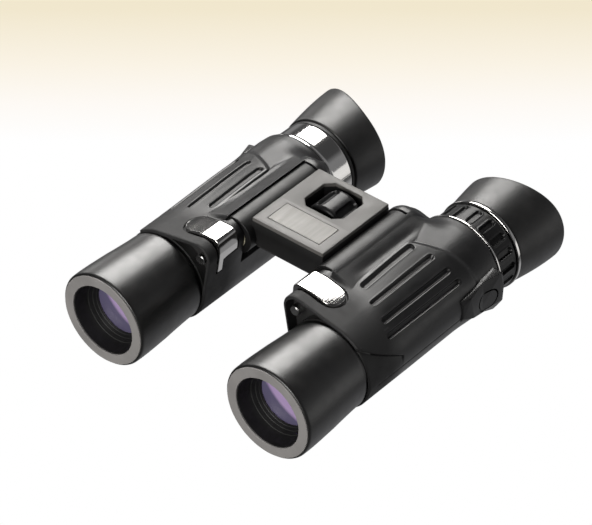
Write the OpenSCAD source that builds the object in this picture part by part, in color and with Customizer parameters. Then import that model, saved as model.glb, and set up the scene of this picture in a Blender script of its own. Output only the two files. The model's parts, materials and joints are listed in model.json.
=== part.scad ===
// Compact roof-prism binoculars with two hinges, opened flat.
// +Y runs from the objectives to the eyepieces, +Z is up and +X is to the right of someone
// who faces the objectives; left and right in the names are meant from there. The origin is at the centre of the base rectangle, on the surface
// that the binoculars lie on.

/* [Overall] */
// Distance between the two optical axes when fully open
axis_spacing = 76.2; // [75:0.1:78]
// Height of the optical axes above the surface
rest_height = 19.94; // [19.94:0.01:20.2]
// Length from the front rings to the tips of the eyecups
total_length = 144.26; // [144.2:0.02:146]

/* [Objective end] */
// Diameter of the front opening
opening_d = 28; // [26:0.5:28.5]
// Largest radius of the flared objective tube
tube_front_r = 18.85; // [18.7:0.05:19]
// Radius of the tube where it enters the armour
tube_rear_r = 17.55; // [17.5:0.05:17.8]
// Distance from the front ring back to the armour
armour_front = 33.6; // [33:0.1:35]

/* [Barrels] */
// Outer radius of the rubber armour
armour_r = 18.3; // [18.2:0.05:18.6]
// Outer radius of the housing under the armour
housing_r = 16.6; // [16.5:0.05:16.8]
// Bore radius of the housing
housing_bore_r = 15; // [14.8:0.1:15.1]
// Distance from the front ring back to the rear end of the armour
armour_rear = 106.9; // [106.5:0.1:107]
// Number of long grooves in the grip panel
groove_count = 4; // [3:1:4]

/* [Hinges] */
// Distance of each hinge axis from the middle
hinge_x = 21.8; // [21.6:0.1:22]
// Height of the hinge axes above the optical axes
hinge_z = 14.8; // [14.6:0.1:15]
// Radius of the bridge's knuckles
knuckle_r = 7.5; // [7.2:0.1:7.6]
// Gap between each knuckle and the barrel around it
knuckle_gap = 0.35; // [0.3:0.05:0.4]
// Radius of the hinge pins
pin_r = 2; // [1.8:0.1:2.2]
// Radial running clearance of pins, sleeves and slides
running_gap = 0.05; // [0.03:0.01:0.08]

/* [Bridge] */
// Width of the top plate
plate_w = 32.4; // [32:0.1:33]
// Distance from the front ring back to the plate's front edge
plate_front = 56.1; // [56:0.1:56.5]
// Distance from the front ring back to the plate's rear edge
plate_rear = 93.3; // [93:0.1:93.5]
// Height of the plate's top above the optical axes
plate_top = 23.65; // [23.6:0.05:24]
// Height of the bridge's underside above the optical axes
bridge_bottom = 11.9; // [11.8:0.1:12]

/* [Focusing] */
// Radius of the focus wheel
wheel_r = 8.5; // [8.2:0.1:8.6]
// Width of the focus wheel
wheel_w = 13; // [12:0.5:13.5]
// Number of finger flutes around the wheel
wheel_flutes = 6; // [5:1:8]
// Focus travel each way from the middle
focus_travel = 1.6; // [1:0.1:1.7]

/* [Eyepieces] */
// Radius of the eyecups where they sit on the barrel
cup_base_r = 17.6; // [17.4:0.05:17.7]
// How much the eyecups widen towards the rim
cup_flare = 2.35; // [2:0.05:2.5]
// Turn of the left eyecup's wing below the horizontal
cup_turn_left = 15; // [10:1:30]
// Turn of the right eyecup's wing below the horizontal
cup_turn_right = 30; // [10:1:35]
// Number of finger ribs on the dioptre ring
diopter_ribs = 18; // [12:1:24]

/* [Hidden] */
$fn = 96;
slack = 0.01;        // overshoot of cutting shapes
barrel_x = axis_spacing / 2;

// ---- stations along the barrel, counted from the front ring --------------------------
lobe_front = armour_front + 0.6;
knuckle_front = 52.9;
knuckle_rear = 94;
washer_t = 0.3;
lobe_rear = 104.6;
lens_station = 8.6;
crease = 0.42;        // where the front ring meets the tube
collar_front = armour_rear;
collar_rear = 118.7;
cup_front = 120.5;
seat_r = 14.8;        // of the eyepiece tube that the rings and the eyecup sit on
eyepiece_rear = 126;
focus_station = 60;
prism_front = 68;
prism_rear = 95;
rod_front = 57.2;
rod_rear = 72.9;

// ---- hinge lobe of the armour: a second circle that two tangents join to the barrel ----
lobe_x = 22.7;
lobe_z = 15.9;
lobe_r = 5.7;
shell_t = armour_r - housing_r;
skirt_r = opening_d / 2 + 0.8;
pocket_r = knuckle_r + knuckle_gap;
pocket_wall = 1.1;
hinge_tilt = atan2(hinge_z, barrel_x - hinge_x);  // of the line from barrel to hinge
wheel_z = plate_top + 0.25 - wheel_r;
wheel_front = 76;
spindle_r = 2;
thread_r = 1.8;
cavity_r = 4.2;
rod_r = 1.5;

// flat base under the bridge and its screws
base_t = 1;
base_half = 14.4;
base_screw_x = 12.2;

// ---- helpers -----------------------------------------------------------------------
// Draws children, made for the right barrel, on one side or the other
module on_side(side) {
    mirror([side == "left" ? 1 : 0, 0, 0])
        translate([0, -total_length / 2, rest_height]) children();
}
module in_middle() { translate([0, -total_length / 2, rest_height]) children(); }
// Extrudes a section, drawn as (x, height), from one station to another
module along(from, to) {
    translate([0, to, 0]) rotate([90, 0, 0]) linear_extrude(to - from) children();
}
// Turns (radius, station) points about an axis along Y at (x, z)
module turned(points, x = barrel_x, z = 0) {
    translate([x, 0, z]) rotate([-90, 0, 0]) rotate_extrude() polygon(points);
}
module rod(r, from, to, x = barrel_x, z = 0) { along(from, to) translate([x, z]) circle(r); }
module ring(r_out, r_in, from, to, x = barrel_x, z = 0) {
    turned([[r_in, from], [r_out, from], [r_out, to], [r_in, to]], x, z);
}
// Ring with its outer edges broken by a small chamfer
module soft_ring(r_out, r_in, from, to, edge, x = barrel_x, z = 0) {
    turned([[r_in, from], [r_out - edge, from], [r_out, from + edge], [r_out, to - edge],
            [r_out - edge, to], [r_in, to]], x, z);
}
module block(x0, x1, y0, y1, z0, z1) { translate([x0, y0, z0]) cube([x1 - x0, y1 - y0, z1 - z0]); }
// Barrel circle and hinge circle with the tangents between them
module teardrop(inset = 0) {
    r1 = armour_r - inset;
    r2 = lobe_r - inset;
    dx = lobe_x - barrel_x;
    run = sqrt(dx * dx + lobe_z * lobe_z);
    lean = atan2(lobe_z, dx);
    spread = acos((r1 - r2) / run);
    function edge(c, r, a) = [c[0] + r * cos(a), c[1] + r * sin(a)];
    translate([barrel_x, 0]) circle(r1);
    translate([lobe_x, lobe_z]) circle(r2);
    polygon([edge([barrel_x, 0], r1, lean - spread), edge([lobe_x, lobe_z], r2, lean - spread),
             edge([lobe_x, lobe_z], r2, lean + spread), edge([barrel_x, 0], r1, lean + spread)]);
}
module stadium(length, width) {
    for (end = [-1, 1]) translate([end * (length - width) / 2, 0]) circle(width / 2);
    square([length - width, width], center = true);
}
// Room that the bridge needs beside the barrel over the whole fold
module bridge_room(gap) {
    fold = 52;
    drop = hinge_z - bridge_bottom + gap;
    translate([hinge_x, hinge_z]) {
        circle(knuckle_r + gap);
        for (turn = [0, fold / 2, fold]) rotate(turn) {
            translate([-60, -drop]) square([60, 80]);
            translate([-60, -drop - base_t]) square([60 - hinge_x + base_half + gap, 80]);
        }
    }
}
function tube_r(s) = (tube_front_r + tube_rear_r) / 2
    + (tube_front_r - tube_rear_r) / 2 * cos(180 * (s - 3) / 32);
function cup_r(s) = cup_base_r + cup_flare * sin(90 * (s - cup_front) / (total_length - cup_front));

// ---- bridge ------------------------------------------------------------------------
module wheel_window(half, from, to, cut) {
    polygon([[-half + cut, from], [half - cut, from], [half, from + cut], [half, to - cut],
             [half - cut, to], [-half + cut, to], [-half, to - cut], [-half, from + cut]]);
}
module bridge_body() {
    plate_t = 1.4;
    in_middle() color("#3a3a3c") difference() {
        union() {
            block(-plate_w / 2, plate_w / 2, plate_front, plate_rear, bridge_bottom,
                  plate_top - plate_t);
            block(-hinge_x, hinge_x, plate_front, plate_rear, bridge_bottom, 18.6);
            for (side = [-1, 1])
                rod(knuckle_r, knuckle_front, knuckle_rear, side * hinge_x, hinge_z);
        }
        for (side = [-1, 1]) {
            // bores for the hinge pins, and the hollow for the push rod between them
            rod(pin_r + running_gap, knuckle_front - slack, 55.2, side * hinge_x, hinge_z);
            rod(pin_r + running_gap, 86, knuckle_rear + slack, side * hinge_x, hinge_z);
            rod(cavity_r, 55.2, 75, side * hinge_x, hinge_z);
            // slot towards the barrel for the focus arm
            translate([side * hinge_x, 0, hinge_z]) mirror([side < 0 ? 1 : 0, 0, 0])
                along(57.3, 62.7) polygon([[0, 0], [12, -3], [9, -14], [-4, -14], [-2.6, -4]]);
        }
        // hollow for the focus carriage, closed from below by the base
        block(-hinge_x, hinge_x, 64.8, 73.2, bridge_bottom + 1, 17.4);
        block(-13, 13, 60, 73.2, bridge_bottom - slack, 20);
        // well for the focus wheel, open above and below
        block(-9, 9, 74.4, 90.6, bridge_bottom - slack, plate_top);
        rod(spindle_r + 1, 73, 74.5, 0, wheel_z);
        rod(spindle_r + 1, 90.5, 92.4, 0, wheel_z);
        base_screw_places() cylinder(r = 0.8, h = 4);
    }
}
module bridge_plate() {
    plate_t = 1.4;
    edge = 0.5;
    in_middle() color("#8a857e") difference() {
        translate([0, plate_rear, plate_top - plate_t]) rotate([90, 0, 0])
            linear_extrude(plate_rear - plate_front)
                polygon([[-plate_w / 2, 0], [plate_w / 2, 0], [plate_w / 2, plate_t - edge],
                         [plate_w / 2 - edge, plate_t], [-plate_w / 2 + edge, plate_t],
                         [-plate_w / 2, plate_t - edge]]);
        translate([0, 0, plate_top - plate_t - slack]) linear_extrude(plate_t + 1)
            wheel_window(9, 73.6, 90.4, 3);
        // shallow seat for the nameplate
        block(-11.8, 11.8, 59.6, 70.2, plate_top - 0.5, plate_top + 1);
    }
}
module nameplate() {
    in_middle() color("#d8d4cc") block(-11.7, 11.7, 59.7, 70.1, plate_top - 0.5, plate_top + 0.05);
}
module base_screw_places() {
    for (x = [-base_screw_x, base_screw_x], y = [58.6, 76, 90.6])
        translate([x, y, bridge_bottom - slack]) children();
}
module bridge_base() {
    in_middle() color("#2c2c2e") difference() {
        block(-base_half, base_half, plate_front + 0.6, plate_rear - 0.6, bridge_bottom - base_t, bridge_bottom);
        block(-9, 9, 74.4, 90.6, bridge_bottom - 2, bridge_bottom + 1);
        base_screw_places() translate([0, 0, -2]) cylinder(r = 0.9, h = 4);
        base_screw_places() translate([0, 0, -base_t]) cylinder(r1 = 1.8, r2 = 0.9, h = base_t);
    }
}
module base_screws() {
    in_middle() color("silver") base_screw_places() {
        translate([0, 0, -0.95]) cylinder(r1 = 1.7, r2 = 0.8, h = 0.9);
        translate([0, 0, -0.1]) cylinder(r = 0.8, h = 4);
    }
}

// ---- focusing ----------------------------------------------------------------------
module focus_wheel() {
    edge = 1.1;
    flute_r = 2.6;
    in_middle() color("#1c1c1e") difference() {
        turned([[spindle_r, wheel_front], [wheel_r - edge, wheel_front],
                [wheel_r, wheel_front + edge], [wheel_r, wheel_front + wheel_w - edge],
                [wheel_r - edge, wheel_front + wheel_w], [spindle_r, wheel_front + wheel_w]],
               0, wheel_z);
        for (i = [0 : wheel_flutes - 1]) {
            a = 50 - i * 360 / wheel_flutes;
            rod(flute_r, wheel_front + 1.6, wheel_front + wheel_w - 1.6,
                (wheel_r + 1.3) * cos(a), wheel_z + (wheel_r + 1.3) * sin(a));
        }
    }
}
module focus_spindle() {
    in_middle() color("silver") turned([[0, 61], [1.4, 61], [thread_r, 61.4],
        [thread_r, 72.8], [spindle_r, 73], [spindle_r, 92], [0, 92]], 0, wheel_z);
}
module spindle_bushes() {
    in_middle() color("#b5914a") {
        ring(spindle_r + 1, spindle_r + running_gap, 73.2, 74.4, 0, wheel_z);
        ring(spindle_r + 1, spindle_r + running_gap, 90.6, 92.3, 0, wheel_z);
    }
}
module focus_carriage() {
    bar_z = 15.2;
    in_middle() color("#b5914a") difference() {
        union() {
            rod(3.2, 65, 71, 0, wheel_z);
            block(-hinge_x, hinge_x, 67, 71, bar_z - 1.6, bar_z + 1.2);
            for (side = [-1, 1]) rod(2.6, 67, 71, side * hinge_x, hinge_z);
        }
        rod(thread_r + running_gap, 64, 72, 0, wheel_z);
        for (side = [-1, 1]) rod(rod_r, 66, 72, side * hinge_x, hinge_z);
    }
}
module push_rods() {
    in_middle() color("silver") for (side = [-1, 1]) {
        rod(rod_r, rod_front, rod_rear, side * hinge_x, hinge_z);
        for (s = [focus_station - 2.05, focus_station + 1.05])
            rod(2.6, s, s + 1, side * hinge_x, hinge_z);
    }
}

// ---- barrels -----------------------------------------------------------------------
module housing(side) {
    on_side(side) color("#26282a") difference() {
        union() {
            ring(housing_r, housing_bore_r, armour_front + 4.4, 103);
            intersection() {
                rod(housing_r, armour_front + 4.4, 103);
                rod(pocket_r + pocket_wall, knuckle_front - 1, knuckle_rear + 1, hinge_x, hinge_z);
            }
            // hinge lobes in front of and behind the bridge
            difference() {
                for (ends = [[lobe_front, knuckle_front - washer_t], [knuckle_rear + washer_t, 103]])
                    along(ends[0], ends[1]) teardrop(shell_t);
                rod(housing_bore_r + 0.5, 30, 110);
                // the objective tube passes in front of the housing's tube
                rod(tube_rear_r + 0.02, 30, armour_front + 4.4);
            }
        }
        along(knuckle_front - washer_t, knuckle_rear + washer_t) bridge_room(knuckle_gap);
        rod(pin_r, 30, 60, hinge_x, hinge_z);
        rod(pin_r, 80, 102, hinge_x, hinge_z);
        // slot for the focus arm
        translate([barrel_x, 0, 0]) rotate([0, hinge_tilt, 0])
            block(-20, -10, 57.2, 62.8, -2.4, 2.4);
    }
}
module grooves() {
    stations = [[55, 83.5], [51.2, 85.3], [49.2, 86.4], [47.3, 87.6]];
    angles = [-8.6, 13.3, 36, 53];
    for (i = [0 : groove_count - 1])
        translate([barrel_x, (stations[i][0] + stations[i][1]) / 2, 0]) rotate([0, angles[i], 0])
            translate([0, 0, armour_r - 0.8]) rotate([0, 0, 90]) linear_extrude(6)
                stadium(stations[i][1] - stations[i][0], 2.4);
}
// The armour swells towards its rear end
module rear_swell(inner) {
    turned([[inner, 87], [armour_r, 87], [armour_r + 0.3, 92], [armour_r + 0.65, 98],
            [armour_r + 0.7, 103], [armour_r + 0.6, armour_rear - 0.9],
            [armour_r + 0.2, armour_rear], [inner, armour_rear]]);
}
module armour(side) {
    on_side(side) color("#2b2b2d") difference() {
        union() {
            along(armour_front, lobe_rear) teardrop();
            rear_swell(housing_r - 1);
        }
        // the housing and the tube fill the inside
        rod(housing_r, armour_front - 1, armour_rear - 3);
        rod(tube_rear_r + 0.02, armour_front - 1, armour_front + 4.4);
        rod(housing_r - 1, 90, armour_rear + 1);
        for (ends = [[armour_front - 1, knuckle_front], [knuckle_rear, 103]])
            along(ends[0], ends[1]) difference() {
                teardrop(shell_t);
                translate([barrel_x, 0]) circle(housing_r - 0.5);
            }
        along(knuckle_front - washer_t, knuckle_rear + washer_t) bridge_room(knuckle_gap);
        grooves();
        clip_seat();
    }
}
// Recess in the front lobe that the chrome clip lies in
clip_front = 39;
clip_rear = 48.8;
module clip_section(depth, proud) {
    // follows the lobe's outline from the inner side over the top, with a flat top that
    // runs on past the lobe to a corner
    difference() {
        union() {
            teardrop(-proud);
            polygon([[24, 21.6], [20.3, 22.3], [19.1, 21.9], [17.2, 18]]);
        }
        teardrop(depth);
        translate([lobe_x - 12, -20]) square([24, lobe_z - 6 + 20]);
        translate([barrel_x - 3.2, -20]) square([40, 60]);
    }
}
module clip_seat() {
    intersection() {
        along(clip_front - 0.4, clip_rear + 0.4) clip_section(0.8, 1);
        clip_outline(0.4);
    }
}
module clip_outline(grow) {
    half = (clip_rear - clip_front) / 2;
    translate([0, (clip_front + clip_rear) / 2, -5]) linear_extrude(40) {
        translate([10, -half - grow]) square([20.2, 2 * half + 2 * grow]);
        translate([30.2, 0]) circle(half + grow);
    }
}
module hinge_clip(side) {
    on_side(side) color("#e2e2e2") intersection() {
        along(clip_front, clip_rear) clip_section(0.8, 0.25);
        clip_outline(0);
    }
}
module objective_tube(side) {
    steps = 12;
    last = armour_front + 4.3;
    on_side(side) color("#2f3032") turned(concat(
        [[skirt_r, crease], [18, crease]],
        [for (i = [0 : steps]) let (s = 1.4 + i * (armour_front - 1.4) / steps) [tube_r(s), s]],
        [[tube_rear_r - 0.05, last], [14.2, last], [14.2, 16], [skirt_r, 16]]));
}
module front_ring(side) {
    on_side(side) color("#77736e") turned([[opening_d / 2 + 0.15, 0], [16.7, 0], [17.5, 0.12],
        [18, crease], [skirt_r, crease], [skirt_r, 4.2], [opening_d / 2, 4.2], [opening_d / 2, 0.15]]);
}
// Biconvex or biconcave glass, as (radius, station) points from the axis outwards and back
function lens_face(r, sag, s, steps = 8) =
    [for (i = [0 : steps]) let (q = r * i / steps) [q, s + sag * (q / r) * (q / r)]];
function reversed(list) = [for (i = [len(list) - 1 : -1 : 0]) list[i]];
module lens(r, front, rear, front_sag, rear_sag) {
    turned(concat(lens_face(r, front_sag, front), reversed(lens_face(r, rear_sag, rear))));
}
module objective_lens(side) {
    on_side(side) color("#5a5f80") lens(12.6, lens_station, lens_station + 5.6, 1.5, -1.1);
}
module lens_ring(side) {
    on_side(side) color("#151515") turned([[10.6, lens_station + 0.6], [opening_d / 2 - 0.5, 4.6],
        [opening_d / 2 - 0.4, 4.2], [skirt_r, 4.2], [skirt_r, lens_station + 6.6],
        [12.6, lens_station + 6.6], [12.6, lens_station + 1], [10.6, lens_station + 1]]);
}
module objective_seal(side) {
    on_side(side) color("#101010") ring(skirt_r, 12.6, lens_station + 6.6, 16);
}
module focus_cell(side) {
    s = focus_station;
    reach = sqrt(pow(barrel_x - hinge_x, 2) + pow(hinge_z, 2));
    on_side(side) color("#303030") difference() {
        union() {
            difference() {
                ring(housing_bore_r - running_gap, 9.3, s - 3, s + 3);
                rod(pocket_r + pocket_wall + 0.2, s - 4, s + 4, hinge_x, hinge_z);
            }
            translate([barrel_x, 0, 0]) rotate([0, hinge_tilt, 0])
                block(-reach, -12, s - 1, s + 1, -1.6, 1.6);
            rod(3, s - 1, s + 1, hinge_x, hinge_z);
        }
        rod(rod_r + running_gap, s - 2, s + 2, hinge_x, hinge_z);
        rod(9.3, s - 4, s + 4);
    }
}
module focus_lens(side) {
    on_side(side) color("#a8c0c8") lens(9.3, focus_station - 0.6, focus_station + 0.6, -1, 1);
}
module prism_cage(side) {
    on_side(side) color("#1d1d1f") intersection() {
        difference() {
            rod(housing_bore_r, prism_front, prism_rear);
            rod(pocket_r + pocket_wall, prism_front - 1, prism_rear + 1, hinge_x, hinge_z);
        }
        difference() {
            block(barrel_x - 16, barrel_x + 16, prism_front, prism_rear, -16, 16);
            block(barrel_x - 7.8, barrel_x + 7.8, prism_front + 1.4, prism_rear - 1.4, -9, 20);
            // open frames at the sides between the end walls
            for (x = [-16, 9.2])
                block(barrel_x + x, barrel_x + x + 6.8, prism_front + 3, prism_rear - 3, -20, 20);
            rod(7.4, prism_front - 1, prism_rear + 1);
        }
    }
}
// Roof prism, its ridge along the top
module roof_prism(side) {
    on_side(side) color("#bcd4dc") translate([barrel_x - 7.8, 0, 0]) rotate([0, 90, 0])
        linear_extrude(15.6)
            polygon([[9, 69.4], [9, 78.8], [-8.4, 88], [-8.4, 71.2], [-6.6, 69.4]]);
}
module half_prism(side) {
    on_side(side) color("#bcd4dc") translate([barrel_x - 7.8, 0, 0]) rotate([0, 90, 0])
        linear_extrude(15.6)
            polygon([[9, 79.3], [9, 93.6], [-8.4, 93.6], [-8.4, 88.5]]);
}
module prism_clamp(side) {
    on_side(side) color("silver") {
        block(barrel_x - 3, barrel_x + 3, prism_front + 1.4, prism_rear - 1.4, 8.4, 8.9);
        for (s = [prism_front + 1.4, prism_rear - 2.4])
            block(barrel_x - 3, barrel_x + 3, s, s + 1, 8.9, 10.4);
    }
}

// ---- eyepieces ---------------------------------------------------------------------
module eyepiece_tube(side) {
    bore = side == "right" ? 12.2 : 11.4;
    on_side(side) color("#202022") turned([[bore, 97], [housing_bore_r, 97], [housing_bore_r, 103],
        [housing_r - 1, 103.6], [housing_r - 1, 105], [seat_r, 105.6],
        [seat_r, eyepiece_rear], [bore, eyepiece_rear]]);
}
module ocular_cell(side) {
    on_side(side) color("#303030") turned([[11.4, 99.4], [12.2 - running_gap, 99.4],
        [12.2 - running_gap, 124.2], [11.4, 124.2]]);
}
module field_lens(side) {
    on_side(side) color("#a8c0c8") lens(11.4, 102, 107.4, 1.2, -1.6);
}
module eye_lens(side) {
    on_side(side) color("#8a90b8") lens(11.4, 117.4, 123, 1.4, -1);
}
module collar(side) {
    // the right one is the thin trim ring in front of the dioptre ring
    on_side(side) color("#e0e0e0") {
        if (side == "right") soft_ring(18.9, seat_r, collar_front, collar_front + 0.9, 0.2);
        else difference() {
            turned([[seat_r, collar_front], [18.2, collar_front], [18.2, collar_front + 0.8],
                [17.2, collar_front + 2.4], [17.1, collar_rear - 0.5], [16.8, collar_rear],
                [seat_r, collar_rear]]);
            // butt joint of the ring
            translate([barrel_x, 0, 0]) rotate([0, -76, 0])
                block(-0.12, 0.12, collar_front + 2.4, collar_rear + 1, 16.6, 18);
        }
    }
}
module diopter_ring() {
    from = collar_front + 1.05;
    on_side("right") color("#1c1c1e") difference() {
        soft_ring(17.4, seat_r + running_gap, from, collar_rear - 0.15, 0.4);
        for (i = [0 : diopter_ribs - 1]) translate([barrel_x, (from + collar_rear) / 2, 0])
            rotate([0, i * 360 / diopter_ribs + 4, 0]) translate([0, 0, 16.5]) rotate([0, 0, 90])
                linear_extrude(3) stadium(7.6, 2.2);
    }
}
module cup_ring(side) {
    on_side(side) color("#e0e0e0")
        soft_ring(17.9, seat_r, collar_rear + 0.1, cup_front - 0.15, 0.3);
}
// The rim's height over the cup's seat, from -1 on the nose side to 1 at the wing
function rim_station(s) = 140.39 + 6.99 * s - 0.54 * s * s - 2.74 * s * s * s;
module eyecup(side) {
    turn = side == "left" ? cup_turn_left : cup_turn_right;
    wall = 1.7;
    steps = 12;
    stations = [for (i = [0 : steps]) cup_front + i * (total_length - cup_front) / steps];
    far = 21;
    on_side(side) color("#353537") difference() {
        turned(concat([for (s = stations) [cup_r(s), s]],
            [for (s = reversed(stations)) [s < eyepiece_rear + 1 ? seat_r + running_gap
                : cup_r(s) - wall, s]]));
        // the slanted rim with its wing
        translate([barrel_x, 0, 0]) rotate([0, turn, 0]) translate([0, 0, -25]) linear_extrude(50)
            polygon(concat([for (i = [-10 : 10]) [i * far / 10, rim_station(i / 10 * 1.05)]],
                [[far, total_length + 9], [-far, total_length + 9]]));
    }
}

// ---- outside fittings --------------------------------------------------------------
module strap_lug(side) {
    button_s = 98.3;
    button_z = -1.9;
    button_floor = 57.4;
    on_side(side) color("#2e2e30") difference() {
        hull() polyhedron(
            [[56.2, 84.9, 4.4], [57, 85.3, 2.6], [56.8, 85.3, -3.2], [55.6, 85.4, -5.4],
             [57.6, 89.3, 4.6], [57.2, 96.2, 7.6], [55.8, 103.8, 8.2], [57.6, 105.9, 5.7],
             [59.4, 105.9, -0.2], [59.1, 105.9, -6], [57, 105.4, -9.4], [55.9, 104.5, -11.2],
             [57.2, 94, -5.8], [50, 86, 3], [50, 105.9, 8], [50, 105.9, -11], [50, 86, -5]],
            [[0, 1, 2], [3, 4, 5], [6, 7, 8], [9, 10, 11], [12, 13, 14], [14, 15, 16]]);
        rod(armour_r, 80, 110);
        rear_swell(1);
        // groove round an oval button that the strap's loop hooks over
        translate([60, button_s, button_z]) rotate([90, 0, -90]) difference() {
            linear_extrude(60 - button_floor) stadium(10.4, 8.6);
            translate([0, 0, -1]) linear_extrude(62 - button_floor) stadium(8.8, 7);
        }
    }
}
module hinge_pins(side) {
    on_side(side) color("#c8c8c8") {
        turned([[0, lobe_front - 0.2], [1.7, lobe_front - 0.2], [pin_r, lobe_front + 0.1],
            [pin_r, 55], [0, 55]], hinge_x, hinge_z);
        rod(pin_r, 86.2, 101.8, hinge_x, hinge_z);
    }
}
module hinge_washers(side) {
    on_side(side) color("#d8c890") for (s = [knuckle_front - washer_t, knuckle_rear])
        ring(5, pin_r + running_gap, s + 0.02, s + washer_t - 0.02, hinge_x, hinge_z);
}

bridge_body();
bridge_plate();
nameplate();
bridge_base();
base_screws();
focus_wheel();
focus_spindle();
spindle_bushes();
focus_carriage();
push_rods();
housing("left");  // left_housing
housing("right");  // right_housing
armour("left");  // left_armour
armour("right");  // right_armour
objective_tube("left");  // left_objective_tube
objective_tube("right");  // right_objective_tube
front_ring("left");  // left_front_ring
front_ring("right");  // right_front_ring
objective_lens("left");  // left_objective_lens
objective_lens("right");  // right_objective_lens
lens_ring("left");  // left_lens_ring
lens_ring("right");  // right_lens_ring
objective_seal("left");  // left_objective_seal
objective_seal("right");  // right_objective_seal
focus_cell("left");  // left_focus_cell
focus_cell("right");  // right_focus_cell
focus_lens("left");  // left_focus_lens
focus_lens("right");  // right_focus_lens
prism_cage("left");  // left_prism_cage
prism_cage("right");  // right_prism_cage
roof_prism("left");  // left_roof_prism
roof_prism("right");  // right_roof_prism
half_prism("left");  // left_half_prism
half_prism("right");  // right_half_prism
prism_clamp("left");  // left_prism_clamp
prism_clamp("right");  // right_prism_clamp
eyepiece_tube("left");  // left_eyepiece_tube
eyepiece_tube("right");  // right_eyepiece_tube
field_lens("left");  // left_field_lens
field_lens("right");  // right_field_lens
eye_lens("left");  // left_eye_lens
eye_lens("right");  // right_eye_lens
ocular_cell("right");  // right_ocular_cell
collar("left");  // left_collar
collar("right");  // right_collar
diopter_ring();  // right_diopter_ring
cup_ring("left");  // left_cup_ring
cup_ring("right");  // right_cup_ring
eyecup("left");  // left_eyecup
eyecup("right");  // right_eyecup
strap_lug("left");  // left_strap_lug
strap_lug("right");  // right_strap_lug
hinge_pins("left");  // left_hinge_pins
hinge_pins("right");  // right_hinge_pins
hinge_clip("left");  // left_hinge_clip
hinge_clip("right");  // right_hinge_clip
hinge_washers("left");  // left_hinge_washers
hinge_washers("right");  // right_hinge_washers
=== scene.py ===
"""Compact roof-prism binoculars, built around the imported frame.

Lengths are in millimetres until place() turns them into the frame's metres. A point is given as
(x, station, height): x from the middle, station back from the front rings, height above the two
optical axes. Everything is drawn for the right barrel and mirrored for the left one.
"""
import json
import math

import bmesh
import bpy
import numpy as np
from mathutils import Matrix, Vector


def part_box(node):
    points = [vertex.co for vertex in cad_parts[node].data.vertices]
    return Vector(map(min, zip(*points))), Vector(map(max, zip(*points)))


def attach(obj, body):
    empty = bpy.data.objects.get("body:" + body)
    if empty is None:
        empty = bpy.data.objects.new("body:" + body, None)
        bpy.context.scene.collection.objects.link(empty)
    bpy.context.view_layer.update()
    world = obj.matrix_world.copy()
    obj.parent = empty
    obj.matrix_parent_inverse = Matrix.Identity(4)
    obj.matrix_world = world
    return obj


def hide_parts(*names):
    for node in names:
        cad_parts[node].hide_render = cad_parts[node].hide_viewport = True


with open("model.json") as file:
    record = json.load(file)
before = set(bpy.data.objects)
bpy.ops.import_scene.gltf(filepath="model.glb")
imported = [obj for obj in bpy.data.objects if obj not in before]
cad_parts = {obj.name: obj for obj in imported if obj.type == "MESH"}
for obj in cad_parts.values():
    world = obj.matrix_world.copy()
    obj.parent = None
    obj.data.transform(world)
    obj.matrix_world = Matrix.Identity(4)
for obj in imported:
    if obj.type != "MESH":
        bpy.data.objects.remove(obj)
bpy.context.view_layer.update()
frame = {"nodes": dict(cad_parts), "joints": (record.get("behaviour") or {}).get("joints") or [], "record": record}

MM = 0.001
SIDES = {"left": -1, "right": 1}
scene = bpy.context.scene

# ---- places taken from the frame -----------------------------------------------------------
ring_low, ring_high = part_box("right_front_ring")
BARREL_X = (ring_low.x + ring_high.x) / 2 / MM
AXIS_Z = (ring_low.z + ring_high.z) / 2 / MM
FRONT = ring_low.y / MM
joints = {j["name"]: j for j in frame["joints"]}
HINGE_X = joints["right_hinge"]["pos_m"][0] / MM
HINGE_Z = joints["right_hinge"]["pos_m"][2] / MM - AXIS_Z


def span(node):
    """Low and high corners of a CAD node as (x, station, height)."""
    low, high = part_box(node)
    shift = Vector((0, FRONT, AXIS_Z))
    return low / MM - shift, high / MM - shift


def place(point, side):
    """A drawn point in the frame's metres, mirrored for the left side."""
    x, station, height = point
    return ((side * x) * MM, (FRONT + station) * MM, (AXIS_Z + height) * MM)


# ---- materials -----------------------------------------------------------------------------
def node_of(tree, kind, **values):
    """A new node with its settings and the values of its sockets."""
    node = tree.nodes.new(kind)
    for key, value in values.items():
        if hasattr(node, key):
            setattr(node, key, value)
        else:
            node.inputs[key.replace("_", " ")].default_value = value
    return node


def ramp(tree, source, low, high, out_low, out_high):
    """Maps a value from low..high to out_low..out_high, held at the ends."""
    node = tree.nodes.new("ShaderNodeMapRange")
    for name, value in (("From Min", low), ("From Max", high),
                        ("To Min", out_low), ("To Max", out_high)):
        node.inputs[name].default_value = value
    tree.links.new(source, node.inputs["Value"])
    return node.outputs["Result"]


def noise(tree, scale, detail=3.0, roughness=0.55, stretch=(1, 1, 1)):
    """Noise that rides on the object, stretched along its axes."""
    where = tree.nodes.new("ShaderNodeTexCoord")
    mapping = node_of(tree, "ShaderNodeMapping")
    mapping.inputs["Scale"].default_value = stretch
    tree.links.new(where.outputs["Object"], mapping.inputs["Vector"])
    node = node_of(tree, "ShaderNodeTexNoise", Scale=scale, Detail=detail, Roughness=roughness)
    tree.links.new(mapping.outputs["Vector"], node.inputs["Vector"])
    return node.outputs["Fac"]


def blend_colours(tree, factor, first, second):
    """Mixes two colours, each a tuple or another node's output."""
    node = tree.nodes.new("ShaderNodeMix")
    node.data_type = "RGBA"
    tree.links.new(factor, node.inputs["Factor"])
    for key, colour in (("A", first), ("B", second)):
        if isinstance(colour, bpy.types.NodeSocket):
            tree.links.new(colour, node.inputs[key])
        else:
            node.inputs[key].default_value = (*colour, 1)
    return node.outputs["Result"]


def arithmetic(tree, operation, first, second):
    node = node_of(tree, "ShaderNodeMath", operation=operation)
    tree.links.new(first, node.inputs[0])
    tree.links.new(second, node.inputs[1])
    return node.outputs["Value"]


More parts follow.
